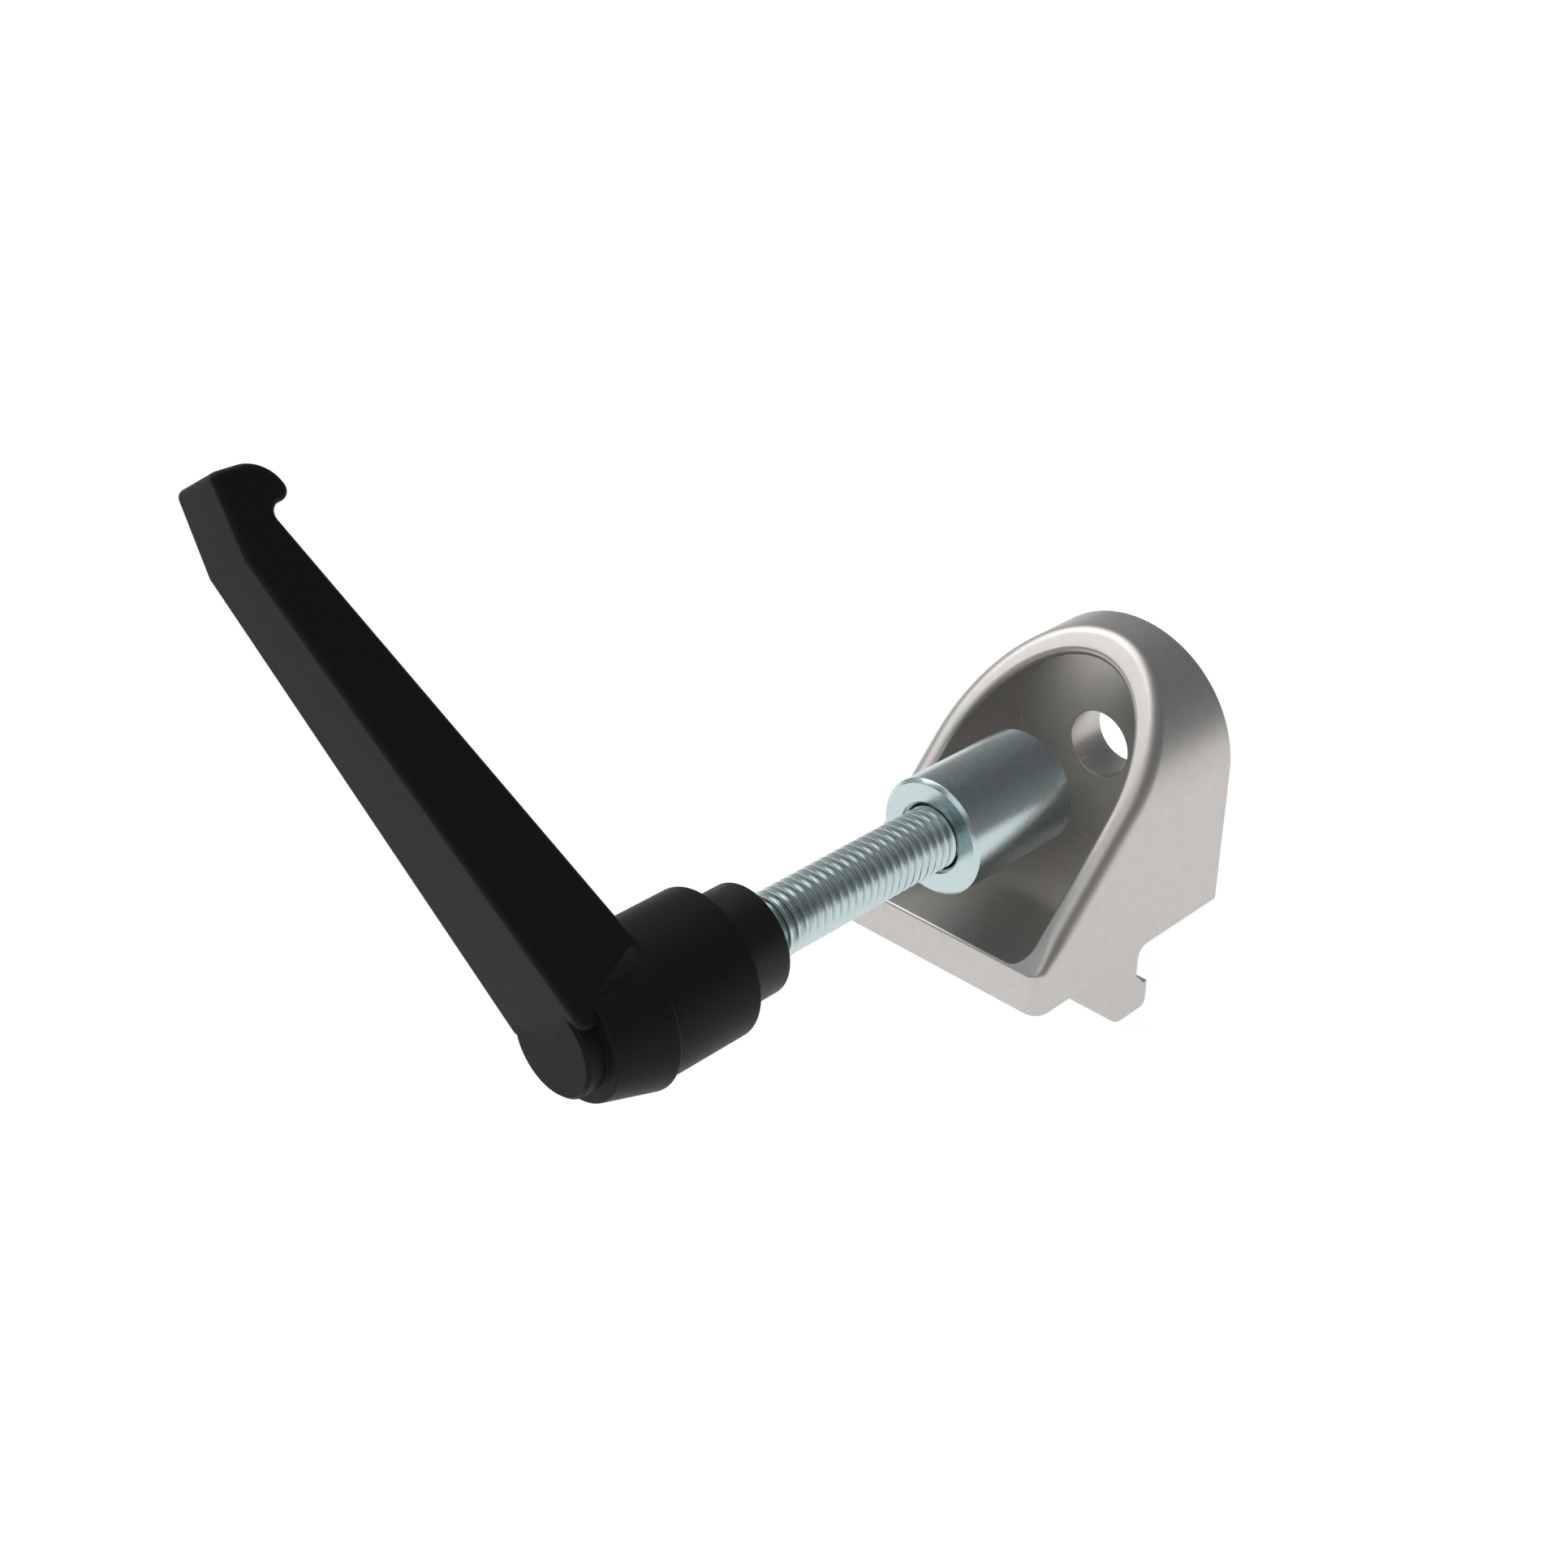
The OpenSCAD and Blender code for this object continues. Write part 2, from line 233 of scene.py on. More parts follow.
def rounded(points, radii, steps=6):
    """Open outline with each inner corner replaced by an arc of its radius, which touches both lines."""
    points = np.asarray(points, float)
    back = points[:-2] - points[1:-1]
    ahead = points[2:] - points[1:-1]
    back /= np.linalg.norm(back, axis=1, keepdims=True)
    ahead /= np.linalg.norm(ahead, axis=1, keepdims=True)
    half = np.arccos(np.clip((back * ahead).sum(-1), -1, 1))[:, None] / 2
    radius = np.asarray(radii, float)[:, None]
    middle = (back + ahead) / np.linalg.norm(back + ahead, axis=1, keepdims=True)
    centre = points[1:-1] + middle * radius / np.sin(half)
    reach = radius / np.tan(half)
    start = (points[1:-1] + back * reach - centre) / radius
    end = (points[1:-1] + ahead * reach - centre) / radius
    arcs = centre + radius * swing(start, end, np.linspace(0, 1, steps + 1))
    return np.concatenate([points[:1], arcs.swapaxes(0, 1).reshape(-1, 2), points[-1:]])


ball_middle, wall_normal, ball_r = outer_loop()
rim_edge = ball_middle + ball_r * swing(wall_normal, rim_normal, np.linspace(0, 1, round_steps + 1))

cavity_outline, cavity_normal = cavity_loop()
floor_share = np.clip(cavity_normal[:, 2], 0, 1)
lip_r = lip_round + floor_share * (front_round - lip_round)
lip_middle = cavity_outline - lip_r[:, None] * cavity_normal
lip_middle[:, 1] = rim_y(lip_middle[:, 2], lip_r)
lip_edge = lip_middle + lip_r[:, None] * swing(rim_normal, cavity_normal, np.linspace(0, 1, round_steps + 1))

fillet_angle = np.linspace(0, np.pi / 2, fillet_steps + 1)[:, None]
fillet_reach = back_round * (1 - np.cos(fillet_angle))
back_fillet = cavity_outline + fillet_reach[..., None] * cavity_normal
back_fillet[..., 1] = -back_wall - back_round * (1 - np.sin(fillet_angle))

# Outline of the back face, with as many points as the rim: over the arch, down the sides and along the base
arch_part = half_w * -cavity_normal[: arch_steps + 1]
down_z = np.linspace(0, base_z, side_steps + 1)
down_part = np.stack([np.full_like(down_z, -half_w), np.zeros_like(down_z), down_z], -1)
foot_x = np.linspace(-half_w, corner_r - half_w, corner_steps + 1)
foot_part = np.stack([foot_x, np.zeros_like(foot_x), np.full_like(foot_x, base_z)], -1)
base_x = np.linspace(corner_r - half_w, half_w - corner_r, front_steps + 1)
base_part = np.stack([base_x, np.zeros_like(base_x), np.full_like(base_x, base_z)], -1)
back_outline = mirrored_loop(arch_part, down_part, foot_part, base_part)

hole_edge = hole_r * back_outline / np.linalg.norm(back_outline, axis=1, keepdims=True)
hole_front = hole_edge - np.array([0, back_wall, 0])
hood = np.concatenate([rim_edge, lip_edge, back_fillet, [hole_front, hole_edge, back_outline]])
crown = np.stack([back_outline[: arch_steps + 1], rim_edge[0, : arch_steps + 1]])

# The front and its two corners hang straight down from the rounding to the pad
first_corner = arch_steps + side_steps
last_corner = first_corner + 2 * corner_steps + front_steps
apron_top = rim_edge[0, first_corner : last_corner + 1]
apron_foot = apron_top * np.array([1, 1, 0]) + np.array([0, 0, pad_z])

# Side view of the base from the front corner to the back: pad, leg, nib with its slope, and the raised base
lug_back = -16.2 * mm
leg_len = 5.0 * mm
leg_front = lug_back - leg_len
nib_len = 2.4 * mm
nib_back = lug_back + nib_len
nib_drop = 5.2 * mm
nib_z = pad_z - nib_drop
nib_land = 0.8 * mm
nib_slope = nib_back - nib_land - lug_back
pad_fillet = 0.5 * mm
toe_round = 2.4 * mm
heel_round = 1.0 * mm
nib_round = 0.22 * mm
slope_fillet = 0.3 * mm
base_fillet = 1.6 * mm
base_profile = rounded(
    [(front_y + corner_r, pad_z), (leg_front, pad_z), (leg_front, lug_z),
     (nib_back, lug_z), (nib_back, nib_z), (nib_back - nib_land, nib_z),
     (lug_back, nib_z + nib_slope), (lug_back, base_z), (0, base_z)],
    [pad_fillet, toe_round, heel_round, nib_round, nib_round, slope_fillet, base_fillet])
base_columns = back_outline[first_corner : last_corner + 1, 0]
base_sheet = np.empty((len(base_profile), len(base_columns), 3))
base_sheet[..., 0] = base_columns
base_sheet[..., 1:] = base_profile[:, None]

left_rim = rim_edge[0, arch_steps : first_corner + 1]
left_back = back_outline[arch_steps : first_corner + 1]
left_side = np.concatenate([left_rim, base_sheet[:, 0], left_back[::-1][1:]])
right_side = left_side * np.array([-1, 1, 1])
pad_front = np.concatenate([apron_foot, base_sheet[0, ::-1][1:-1]])
bracket = make_piece("cast_bracket", [hood, crown, np.stack([apron_top, apron_foot]), base_sheet],
                     [left_side, right_side, pad_front])
crisp_edges(bracket, edge_break, crisp_angle)


def new_material(name):
    """Empty procedural material: its nodes, its links, its shader and the object coordinates."""
    material = bpy.data.materials.new(name)
    material.use_nodes = True
    nodes = material.node_tree.nodes
    links = material.node_tree.links
    return material, nodes, links, nodes["Principled BSDF"], nodes.new("ShaderNodeTexCoord").outputs["Object"]


def noise(nodes, links, place, scale, detail):
    """Noise of a given number of cells per metre."""
    texture = nodes.new("ShaderNodeTexNoise")
    texture.inputs["Scale"].default_value = scale
    texture.inputs["Detail"].default_value = detail
    links.new(place, texture.inputs["Vector"])
    return texture.outputs[0]


def ramp(nodes, links, value, stops):
    """Colour that changes with a value between the stops."""
    colours = nodes.new("ShaderNodeValToRGB")
    colours.color_ramp.elements[0].position, colours.color_ramp.elements[0].color = stops[0]
    colours.color_ramp.elements[1].position, colours.color_ramp.elements[1].color = stops[-1]
    for position, colour in stops[1:-1]:
        colours.color_ramp.elements.new(position).color = colour
    links.new(value, colours.inputs["Fac"])
    return colours.outputs["Color"]


def between(nodes, links, value, low, high):
    """Takes a noise value from its usual range to the range from low to high."""
    scaled = nodes.new("ShaderNodeMapRange")
    scaled.inputs["From Min"].default_value = 0.3
    scaled.inputs["From Max"].default_value = 0.7
    scaled.inputs["To Min"].default_value = low
    scaled.inputs["To Max"].default_value = high
    links.new(value, scaled.inputs["Value"])
    return scaled.outputs["Result"]


def bump(nodes, links, height, depth, strength):
    """Normal of a surface with relief of that depth in metres."""
    relief = nodes.new("ShaderNodeBump")
    relief.inputs["Strength"].default_value = strength
    relief.inputs["Distance"].default_value = depth
    links.new(height, relief.inputs["Height"])
    return relief.outputs["Normal"]


zinc, nodes, links, shader, place = new_material("tumbled_zinc")
shader.inputs["Metallic"].default_value = 0.85
mottle = noise(nodes, links, place, scale=900, detail=8)
zinc_colours = [(0.25, (0.60, 0.578, 0.558, 1)),
                (0.50, (0.62, 0.598, 0.578, 1)),
                (0.75, (0.64, 0.618, 0.598, 1))]
links.new(ramp(nodes, links, mottle, zinc_colours), shader.inputs["Base Color"])
sheen = noise(nodes, links, place, scale=700, detail=4)
links.new(between(nodes, links, sheen, low=0.38, high=0.42), shader.inputs["Roughness"])
grain = noise(nodes, links, place, scale=4500, detail=3)
links.new(bump(nodes, links, grain, depth=0.012 * mm, strength=0.2), shader.inputs["Normal"])
bracket.data.materials.append(zinc)
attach(bracket, "bracket")
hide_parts("bracket")

# Spacer sleeve: a piece of steel tube, turned to length with a chamfer at each end, then zinc plated.
# It slides loosely on the stud and takes the lever's pressure to the bracket's back wall.
sleeve_low, sleeve_high = (np.array(corner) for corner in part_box("spacer_sleeve"))
sleeve_r = sleeve_high[0]
sleeve_bore = 4.25 * mm
sleeve_chamfer = 0.5 * mm
sleeve_countersink = 0.4 * mm
sleeve_break = 0.08 * mm
sleeve_sides = 144
break_steps = 3


def turned(profile, sides):
    """Revolves a profile of radius and Y about the stud axis: X = r cos a, Z = r sin a, with a all round."""
    angle = np.linspace(0, 2 * np.pi, sides + 1)
    grid = np.empty((len(profile), len(angle), 3))
    grid[..., 0] = profile[:, :1] * np.cos(angle)
    grid[..., 1] = profile[:, 1:]
    grid[..., 2] = profile[:, :1] * np.sin(angle)
    return grid


front_end, back_end = sleeve_low[1], sleeve_high[1]
mouth_r = sleeve_bore + sleeve_countersink
bore_middle = (sleeve_bore, (front_end + back_end) / 2)
sleeve_line = [
    bore_middle, (sleeve_bore, front_end + sleeve_countersink),
    (mouth_r, front_end), (sleeve_r - sleeve_chamfer, front_end), (sleeve_r, front_end + sleeve_chamfer),
    (sleeve_r, back_end - sleeve_chamfer), (sleeve_r - sleeve_chamfer, back_end), (mouth_r, back_end),
    (sleeve_bore, back_end - sleeve_countersink), bore_middle]
sleeve_profile = rounded(sleeve_line, np.full(len(sleeve_line) - 2, sleeve_break), break_steps)
sleeve = make_piece("turned_sleeve", [turned(sleeve_profile, sleeve_sides)])
sleeve.modifiers.new("flat faces", "WEIGHTED_NORMAL")


def zinc_plate(name, smoothest, roughest, grain):
    """Bright zinc plate with a blue tint over drawn or rolled steel, whose grain runs along the stud axis.
    Roughness clouds between smoothest and roughest, and grain is the strength of the relief."""
    plate, nodes, links, shader, place = new_material(name)
    shader.inputs["Metallic"].default_value = 1.0
    cloud = noise(nodes, links, place, scale=1600, detail=4)
    plate_colours = [(0.30, (0.54, 0.64, 0.65, 1)), (0.70, (0.58, 0.68, 0.69, 1))]
    links.new(ramp(nodes, links, cloud, plate_colours), shader.inputs["Base Color"])
    links.new(between(nodes, links, cloud, smoothest, roughest), shader.inputs["Roughness"])
    along_axis = nodes.new("ShaderNodeMapping")
    along_axis.inputs["Scale"].default_value = (1, 0.3, 1)
    links.new(place, along_axis.inputs["Vector"])
    streaks = noise(nodes, links, along_axis.outputs["Vector"], scale=3500, detail=3)
    links.new(bump(nodes, links, streaks, depth=0.03 * mm, strength=grain), shader.inputs["Normal"])
    return plate


sleeve.data.materials.append(zinc_plate("drawn_zinc_plate", smoothest=0.22, roughest=0.28, grain=0.3))
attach(sleeve, "sleeve")
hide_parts("spacer_sleeve")

# Threaded stud: an M8 set screw, rolled and zinc plated, with a chamfer on its free end.
# Its other end is screwed into the lever's insert and bonded there, and its thread is drawn as rings.
stud_low, stud_high = (np.array(corner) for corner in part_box("threaded_stud"))
stud_r = stud_high[0]
stud_chamfer = 0.75 * mm
pitch = 1.25 * mm
thread_depth = 0.65 * mm
flank_angle = 30
root_r = stud_r - thread_depth
flank = thread_depth * np.tan(np.radians(flank_angle))
land = pitch / 2 - flank
crest_break = 0.06 * mm
root_round = 0.14 * mm
rings = 27
stud_sides = 96

ring_start = stud_high[1] - stud_chamfer - pitch * np.arange(rings)
ring_radii = np.array([stud_r, stud_r, root_r, root_r])
ring_drop = np.array([0, land, land + flank, 2 * land + flank])
thread = np.stack([np.tile(ring_radii, rings), (ring_start[:, None] - ring_drop).ravel()], -1)
plain_start = ring_start[-1] - pitch
stud_line = np.concatenate([
    [(0, stud_high[1]), (stud_r - stud_chamfer, stud_high[1])], thread,
    [(stud_r, plain_start), (stud_r, stud_low[1]), (0, stud_low[1])]])
ring_rounds = np.tile([crest_break, crest_break, root_round, root_round], rings)
stud_rounds = np.concatenate([[crest_break], ring_rounds, [crest_break, crest_break]])
stud = make_piece("threaded_rod", [turned(rounded(stud_line, stud_rounds, break_steps), stud_sides)])
stud.modifiers.new("flat faces", "WEIGHTED_NORMAL")
stud.data.materials.append(zinc_plate("rolled_zinc_plate", smoothest=0.26, roughest=0.32, grain=0.1))
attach(stud, "stud")
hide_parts("threaded_stud")

# Toothed insert: turned steel, blackened. Its collar shows below the hub, a shank runs up inside the hub, and
# the teeth of its head couple it to the handle.
insert_low, insert_high = (np.array(corner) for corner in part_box("toothed_insert"))
collar_y = insert_high[1]
head_top = insert_low[1]
tooth_len = 3.9 * mm
head_y = head_top + tooth_len
shank_r = 6.75 * mm
collar_round = 0.35 * mm
grip_r = 4.02 * mm
grip_play = 0.02 * mm
grip_y = stud_low[1] - grip_play
grip_fillet = 0.1 * mm
grip_round = 0.3 * mm
tooth_tip = 7.8 * mm
tooth_depth = 0.65 * mm
teeth = 24
tooth_steps = 8 * teeth
tooth_break = 0.05 * mm


def toothed(radius, angle):
    """Radius of a ring of pointed teeth: a triangle wave that falls from radius by the teeth's depth."""
    wave = np.abs(((angle * teeth / (2 * np.pi)) % 1) - 0.5) * 2
    return radius - tooth_depth * (1 - wave)


def toothed_rows(radius, start, end):
    """Three rows of a toothed drum: its outline at Y = start, the same at Y = end, and the middle there."""
    angle = np.linspace(0, 2 * np.pi, tooth_steps + 1)
    reach = toothed(radius, angle)
    first = np.stack([reach * np.cos(angle), np.full_like(angle, start), reach * np.sin(angle)], -1)
    second = first + np.array([0, end - start, 0])
    middle = np.zeros_like(second) + np.array([0, end, 0])
    return np.stack([first, second, middle])


insert_profile = rounded(
    [(0, grip_y), (grip_r, grip_y), (grip_r, collar_y), (shank_r, collar_y), (shank_r, head_y)],
    [grip_fillet, grip_round, collar_round])
insert_body = turned(insert_profile, tooth_steps)
insert_head = toothed_rows(tooth_tip, head_y, head_top)
insert = make_piece("black_insert", [np.concatenate([insert_body, insert_head])])
crisp_edges(insert, tooth_break, crisp_angle)


def grey(level):
    """Neutral colour of that level, with its alpha."""
    return (level, level, level, 1)


blackened, nodes, links, shader, place = new_material("blackened_steel")
cloud = noise(nodes, links, place, scale=500, detail=4)
links.new(ramp(nodes, links, cloud, [(0.3, grey(0.007)), (0.7, grey(0.011))]), shader.inputs["Base Color"])
sheen = noise(nodes, links, place, scale=900, detail=3)
links.new(between(nodes, links, sheen, low=0.46, high=0.54), shader.inputs["Roughness"])
shader.inputs["Specular IOR Level"].default_value = 0.3
grain = noise(nodes, links, place, scale=2400, detail=2)
links.new(bump(nodes, links, grain, depth=0.01 * mm, strength=0.2), shader.inputs["Normal"])
insert.data.materials.append(blackened)
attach(insert, "stud")
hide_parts("toothed_insert")

# Lift spring: a coil of drawn spring wire between the retaining ring and the insert's head.
# Lifting the handle off the teeth presses it together.
spring_low, spring_high = (np.array(corner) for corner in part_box("lift_spring"))
wire_r = 0.4 * mm
coil_r = spring_high[0] - wire_r
coil_turns = 3
turn_steps = 48
wire_sides = 12

# A ring of points round the wire, carried along the coil: the angle runs on evenly while Y falls
coil = np.linspace(0, 1, coil_turns * turn_steps + 1)[:, None]
around = np.linspace(0, 2 * np.pi, wire_sides + 1)
coil_angle = coil * coil_turns * 2 * np.pi
coil_y = spring_high[1] - wire_r - coil * (spring_high[1] - spring_low[1] - 2 * wire_r)
wire_reach = coil_r + wire_r * np.cos(around)
wire_y = coil_y - wire_r * np.sin(around)
wire = np.stack([wire_reach * np.cos(coil_angle), wire_y, wire_reach * np.sin(coil_angle)], -1)
spring = make_piece("coil_spring", [wire], [wire[0, :-1], wire[-1, ::-1][:-1]])

wire_steel, nodes, links, shader, place = new_material("drawn_wire")
shader.inputs["Metallic"].default_value = 1.0
cloud = noise(nodes, links, place, scale=800, detail=3)
wire_colours = [(0.3, (0.38, 0.38, 0.40, 1)), (0.7, (0.48, 0.48, 0.50, 1))]
links.new(ramp(nodes, links, cloud, wire_colours), shader.inputs["Base Color"])
sheen = noise(nodes, links, place, scale=1500, detail=2)
links.new(between(nodes, links, sheen, low=0.25, high=0.4), shader.inputs["Roughness"])
spring.data.materials.append(wire_steel)
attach(spring, "spring")
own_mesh(spring)
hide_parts("lift_spring")

# Retaining ring: a flat steel ring, blackened and pressed into the mouth of the hub.
# It closes the hub round the shank and keeps spring and insert in.
ring_low, ring_high = (np.array(corner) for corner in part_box("retaining_ring"))
ring_outer = ring_high[0]
ring_play = 0.1 * mm
ring_break = 0.12 * mm
ring_sides = 144
ring_inner = shank_r + ring_play
face_middle = ((ring_inner + ring_outer) / 2, ring_high[1])
ring_line = [
    face_middle, (ring_outer, ring_high[1]), (ring_outer, ring_low[1]),
    (ring_inner, ring_low[1]), (ring_inner, ring_high[1]), face_middle]
ring_profile = rounded(ring_line, np.full(len(ring_line) - 2, ring_break), break_steps)
ring = make_piece("pressed_ring", [turned(ring_profile, ring_sides)])
ring.modifiers.new("flat faces", "WEIGHTED_NORMAL")
ring.data.materials.append(blackened)
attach(ring, "handle")
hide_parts("retaining_ring")

# Lever handle: hub, boss, arm and hooked tip, one zinc die casting with a black powder coat.
# The hub holds the insert in a toothed bore, and the arm stands off at 120 degrees at rest.
handle_low, handle_high = (np.array(corner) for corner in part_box("lever_handle"))
mouth_y = handle_high[1]
tip_y = handle_low[1]
hub_r = 9.0 * mm
ridge_r = 9.7 * mm
ridge_y = mouth_y - 11.9 * mm
cone_r = 7.6 * mm
cone_y = ridge_y - 7.3 * mm
boss_r = 6.05 * mm
boss_y = cone_y - 2.5 * mm
boss_chamfer = 0.4 * mm
hub_sides = tooth_steps
mouth_round = 0.3 * mm
ledge_fillet = 0.25 * mm
ridge_round = 0.4 * mm
cone_round = 0.3 * mm
boss_fillet = 0.12 * mm
boss_break = 0.08 * mm
sharp_angle = 32

hub_profile = rounded(
    [(0, mouth_y), (hub_r, mouth_y), (hub_r, ridge_y), (ridge_r, ridge_y), (cone_r, cone_y),
     (boss_r, cone_y), (boss_r, boss_y + boss_chamfer), (boss_r - boss_chamfer, boss_y), (0, boss_y)],
    [mouth_round, ledge_fillet, ridge_round, cone_round, boss_fillet, boss_break, boss_break])
hub = make_piece("hub", [turned(hub_profile, hub_sides)])

# Cut out of the hub: a round bore from beyond the mouth, then the grooves that take the insert's teeth
hub_wall = 1.0 * mm
bore_r = hub_r - hub_wall
groove_step = 0.1 * mm
cut_margin = 1.0 * mm
bore_out = mouth_y + cut_margin
bore_end = ridge_y - tooth_len / 4
groove_start = bore_end + tooth_len
bore_profile = np.array([(0, bore_out), (bore_r, bore_out), (bore_r, groove_start)])
grooves = toothed_rows(bore_r - groove_step, groove_start, bore_end)
bore = make_piece("bore", [np.concatenate([turned(bore_profile, hub_sides), grooves])])

# Side view of the arm: u runs along the arm from the stud axis, w along the stud axis away from the bracket
arm_len = 65.1 * mm
arm_root_half = 6.9 * mm
arm_tip_half = 4.35 * mm
arm_round = 0.75 * mm
arm_depth = 12.7 * mm
arm_turn = np.radians(120)
bend_steps = 6
boss_w = -boss_y
tip_w = -tip_y
foot_u = 1.1 * mm
foot_round = 1.0 * mm
rise_u = 2.9 * mm
tip_flat = 8.9 * mm
slope_round = 0.6 * mm
tip_round = 0.85 * mm
nose_r = 4.1 * mm
nose_drop = 3.1 * mm
nose_steps = 16
nose_mid = np.array([arm_len - nose_r, tip_w - nose_drop])
hook_r = 1.15 * mm
hook_turn = np.radians(284)
hook_steps = 12
lip_mid = nose_mid + (nose_r - hook_r) * np.array([np.cos(hook_turn), np.sin(hook_turn)])
throat_mid = lip_mid - np.array([2 * hook_r, 0])
foot_low = np.array([foot_u, boss_w - arm_depth])
to_throat = throat_mid - foot_low
back_turn = np.arctan2(to_throat[1], to_throat[0]) + np.arcsin(hook_r / np.linalg.norm(to_throat))


def arc(middle, radius, start, end, steps):
    """Points along an arc: U = middle + r cos t and W = middle + r sin t, with t from start to end."""
    turn = np.linspace(start, end, steps + 1)
    return middle + radius * np.stack([np.cos(turn), np.sin(turn)], -1)


front_slope = (tip_w - boss_w) / (arm_len - tip_flat - rise_u)
foot_top = boss_w + front_slope * (foot_u - rise_u)
front_line = rounded(
    [foot_low, (foot_u, foot_top), (arm_len - tip_flat, tip_w), (arm_len, tip_w), (arm_len, nose_mid[1])],
    [foot_round, slope_round, tip_round])
nose_points = arc(nose_mid, nose_r, 2 * np.pi, hook_turn, nose_steps)
lip_points = arc(lip_mid, hook_r, hook_turn, np.pi, hook_steps)
throat_points = arc(throat_mid, hook_r, 0, np.pi / 2 + back_turn, hook_steps)
arm_outline = np.concatenate([front_line[:-1], nose_points, lip_points[1:], throat_points[1:]])


def inset_outline(outline, inset):
    """Closed outline moved inwards by inset, with each corner on the line that halves it."""
    ahead = np.roll(outline, -1, 0) - outline
    ahead /= np.linalg.norm(ahead, axis=1, keepdims=True)
    normal = np.stack([-ahead[:, 1], ahead[:, 0]], -1)
    before = np.roll(normal, 1, 0)
    middle = normal + before
    middle /= (middle * normal).sum(-1, keepdims=True)
    return outline - inset * middle


def arm_half(u):
    """Half the arm's width at u: it tapers evenly from the stud axis to the tip."""
    return arm_root_half + (arm_tip_half - arm_root_half) * u / arm_len


arm_axis = np.array([np.cos(arm_turn), 0, np.sin(arm_turn)])
arm_side = np.array([np.sin(arm_turn), 0, -np.cos(arm_turn)])


def arm_row(bend, side):
    """One row of points round the arm: the outline inset and moved out sideways along the edge's rounding."""
    row = inset_outline(arm_outline, arm_round * (1 - np.cos(bend)))
    reach = side * (arm_half(row[:, 0]) - arm_round * (1 - np.sin(bend)))
    row = np.concatenate([row, row[:1]])
    reach = np.append(reach, reach[0])
    return row[:, :1] * arm_axis + reach[:, None] * arm_side - row[:, 1:] * np.array([0, 1, 0])


bends = np.linspace(0, np.pi / 2, bend_steps + 1)
arm_rows = [arm_row(bend, -1) for bend in bends[::-1]] + [arm_row(bend, 1) for bend in bends]
arm = make_piece("arm", [np.array(arm_rows)], [arm_rows[0][:-1], arm_rows[-1][::-1][:-1]])


def combine(piece, other, operation):
    """Joins other to the piece or cuts it away, writes the result into the piece's mesh and drops other."""
    boolean = piece.modifiers.new("combine", "BOOLEAN")
    boolean.operation = operation
    boolean.solver = "EXACT"
    boolean.object = other
    result = bpy.data.meshes.new_from_object(piece.evaluated_get(bpy.context.evaluated_depsgraph_get()))
    piece.modifiers.clear()
    piece.data = result
    bpy.data.objects.remove(other)


handle = hub
combine(handle, arm, "UNION")
combine(handle, bore, "DIFFERENCE")
handle.name = "cast_lever"
handle.data.name = "cast_lever"
handle.data.shade_smooth()
handle.data.set_sharp_from_angle(angle=np.radians(sharp_angle))
weighted = handle.modifiers.new("flat faces", "WEIGHTED_NORMAL")
weighted.keep_sharp = True

coat, nodes, links, shader, place = new_material("black_powder_coat")
cloud = noise(nodes, links, place, scale=1500, detail=4)
links.new(ramp(nodes, links, cloud, [(0.3, grey(0.0145)), (0.7, grey(0.0165))]), shader.inputs["Base Color"])
sheen = noise(nodes, links, place, scale=1800, detail=3)
links.new(between(nodes, links, sheen, low=0.46, high=0.50), shader.inputs["Roughness"])
shader.inputs["Specular IOR Level"].default_value = 0.1
grain = noise(nodes, links, place, scale=4000, detail=2)
links.new(bump(nodes, links, grain, depth=0.008 * mm, strength=0.15), shader.inputs["Normal"])
handle.data.materials.clear()
handle.data.materials.append(coat)
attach(handle, "handle")
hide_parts("lever_handle")

# Floor: a plain white sheet, level with the foot of the hook lug. The camera and the metal see it white, with
# a faint shadow, while other rays meet plain paper, so that it throws no extra light on the part.
floor_size = 4.0
floor_xy = np.array([(-1, -1), (1, -1), (1, 1), (-1, 1)]) * floor_size
floor_mesh = bpy.data.meshes.new("floor")
floor_mesh.from_pydata([(x, y, lug_z) for x, y in floor_xy], [], [(0, 1, 2, 3)])
floor = bpy.data.objects.new("floor", floor_mesh)
bpy.context.scene.collection.objects.link(floor)
paper = bpy.data.materials.new("white_sheet")
paper.use_nodes = True
nodes = paper.node_tree.nodes
links = paper.node_tree.links
nodes.clear()
output = nodes.new("ShaderNodeOutputMaterial")
plain = nodes.new("ShaderNodeBsdfDiffuse")
plain.inputs["Color"].default_value = grey(0.8)
faint = nodes.new("ShaderNodeBsdfDiffuse")
faint.inputs["Color"].default_value = grey(0.2)
glow = nodes.new("ShaderNodeEmission")
glow.inputs["Strength"].default_value = 0.95
seen = nodes.new("ShaderNodeAddShader")
links.new(faint.outputs["BSDF"], seen.inputs[0])
links.new(glow.outputs["Emission"], seen.inputs[1])
path = nodes.new("ShaderNodeLightPath")
sees_white = path.outputs["Is Camera Ray"]
for ray in ("Is Glossy Ray", "Is Transmission Ray"):
    either = nodes.new("ShaderNodeMath")
    either.operation = "MAXIMUM"
    links.new(sees_white, either.inputs[0])
    links.new(path.outputs[ray], either.inputs[1])
    sees_white = either.outputs["Value"]
choice = nodes.new("ShaderNodeMixShader")
links.new(sees_white, choice.inputs["Fac"])
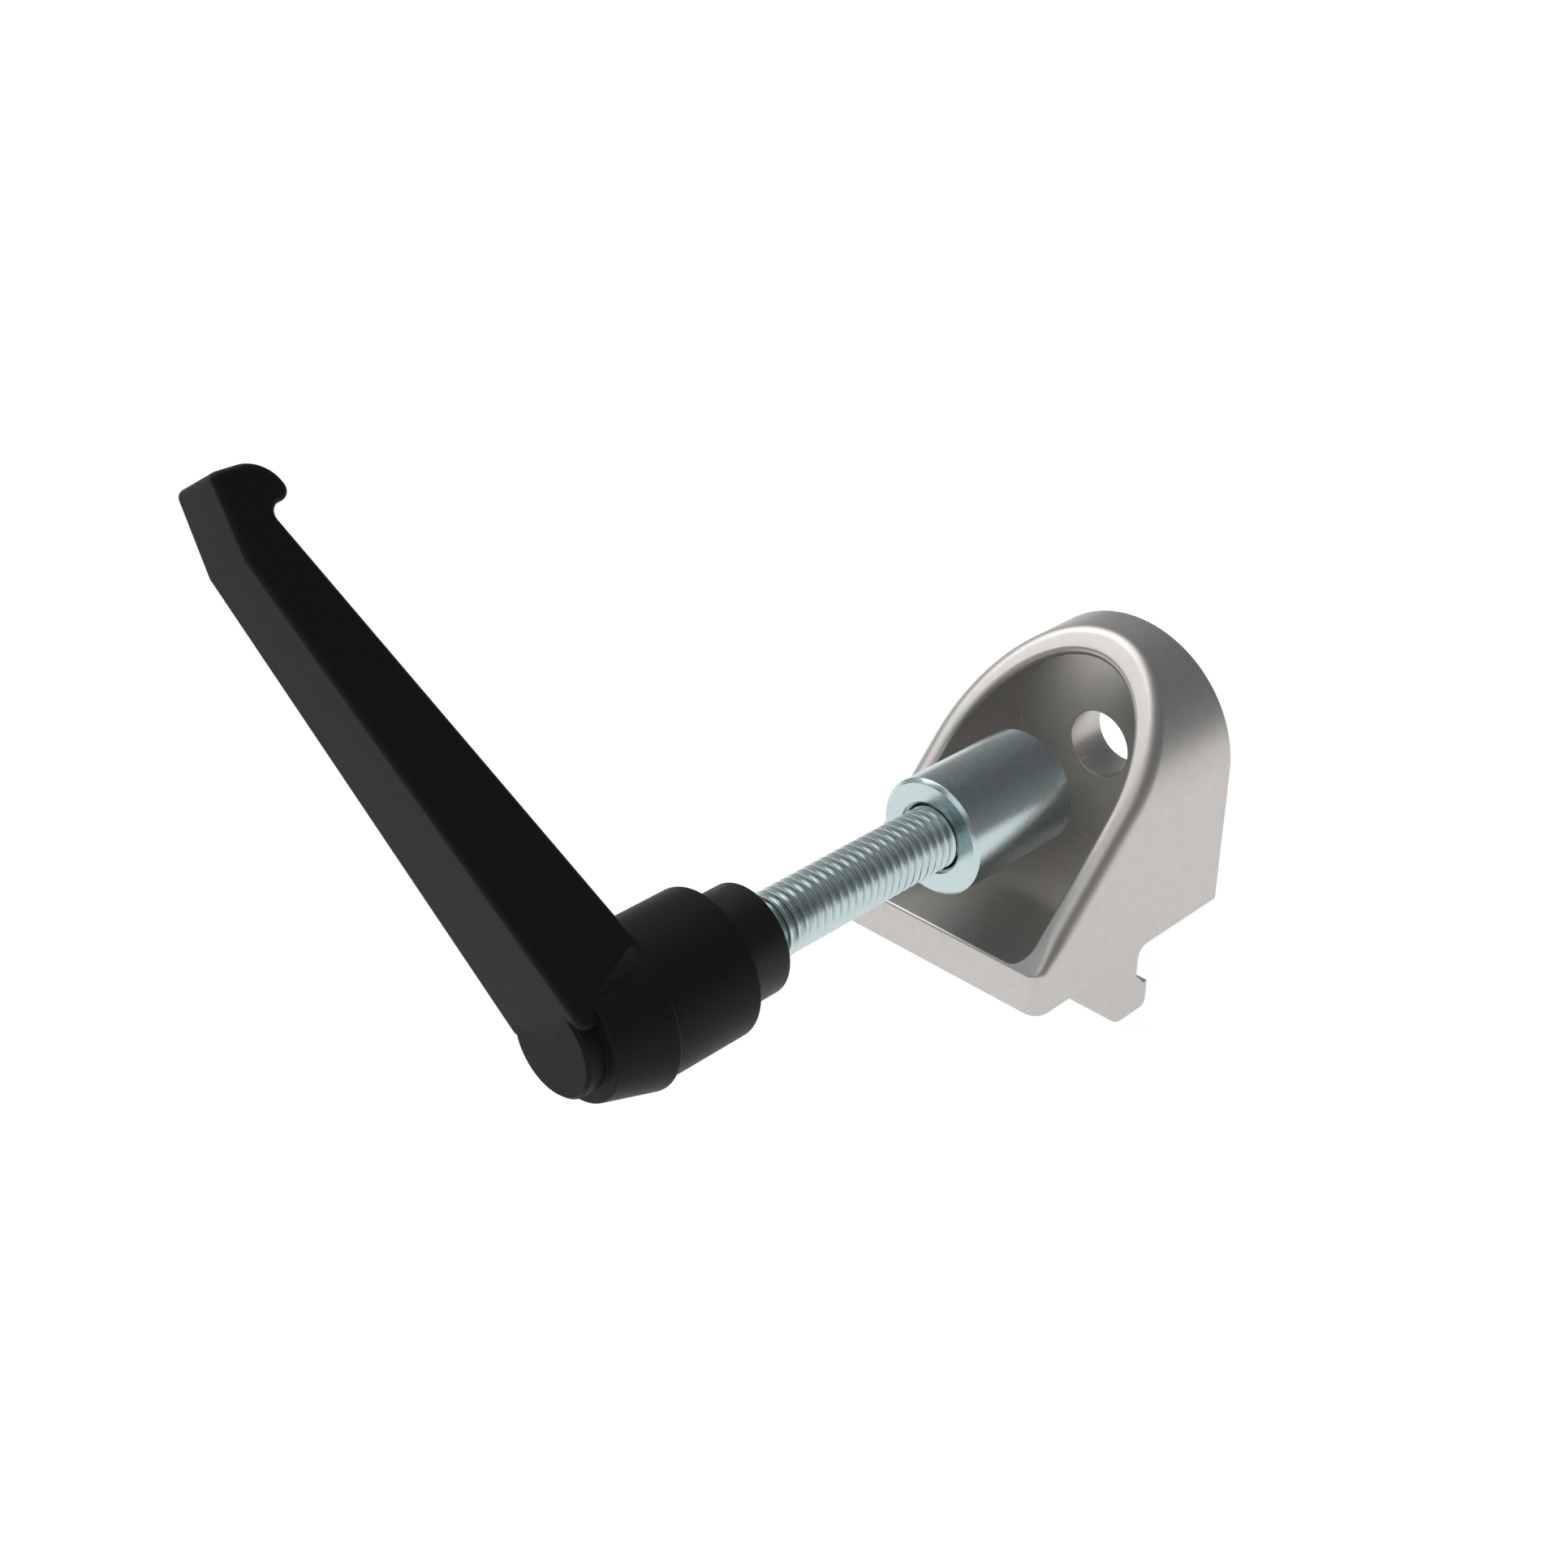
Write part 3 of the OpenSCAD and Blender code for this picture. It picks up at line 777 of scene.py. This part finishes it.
links.new(plain.outputs["BSDF"], choice.inputs[1])
links.new(seen.outputs["Shader"], choice.inputs[2])
links.new(choice.outputs["Shader"], output.inputs["Surface"])
floor.data.materials.append(paper)

# Light: a grey ceiling over the white sheet, paler towards the horizon and the left, a large soft box high on
# the left and a weaker one over the camera.
world = bpy.data.worlds.new("studio")
bpy.context.scene.world = world
world.use_nodes = True
nodes = world.node_tree.nodes
links = world.node_tree.links
direction = nodes.new("ShaderNodeTexCoord")
parts = nodes.new("ShaderNodeSeparateXYZ")
links.new(direction.outputs["Generated"], parts.inputs["Vector"])
leftward = nodes.new("ShaderNodeMath")
leftward.operation = "MULTIPLY"
leftward.inputs[1].default_value = -1
links.new(parts.outputs["X"], leftward.inputs[0])
left_greys = [(0.1, grey(0.13)), (0.55, grey(0.2)), (0.9, grey(0.42))]
left_sky = ramp(nodes, links, leftward.outputs["Value"], left_greys)
low_greys = [(0.0, grey(0.26)), (0.33, grey(0.21)), (0.66, grey(0.13))]
low_sky = ramp(nodes, links, parts.outputs["Z"], low_greys)
sky = nodes.new("ShaderNodeMix")
sky.data_type = "RGBA"
sky.blend_type = "LIGHTEN"
sky.inputs["Factor"].default_value = 1
links.new(left_sky, sky.inputs["A"])
links.new(low_sky, sky.inputs["B"])
links.new(sky.outputs["Result"], nodes["Background"].inputs["Color"])


def soft_box(name, place, target, size, radiance):
    """Square lamp that faces a target. Its power is radiance times pi times the area of its face."""
    lamp = bpy.data.lights.new(name, "AREA")
    lamp.size = size
    lamp.energy = radiance * np.pi * size * size
    box = bpy.data.objects.new(name, lamp)
    box.location = place
    offset = box.location - target
    box.rotation_euler = offset.to_track_quat("Z", "Y").to_euler()
    bpy.context.scene.collection.objects.link(box)


middle = (cad_low + cad_high) / 2
soft_box("key", place=(-0.6626, -0.11, 1.021), target=middle, size=1.07, radiance=2.2)
soft_box("fill", place=(0.198, -0.83, 0.907), target=middle, size=0.8, radiance=0.8)

bpy.context.scene.view_settings.view_transform = "Standard"
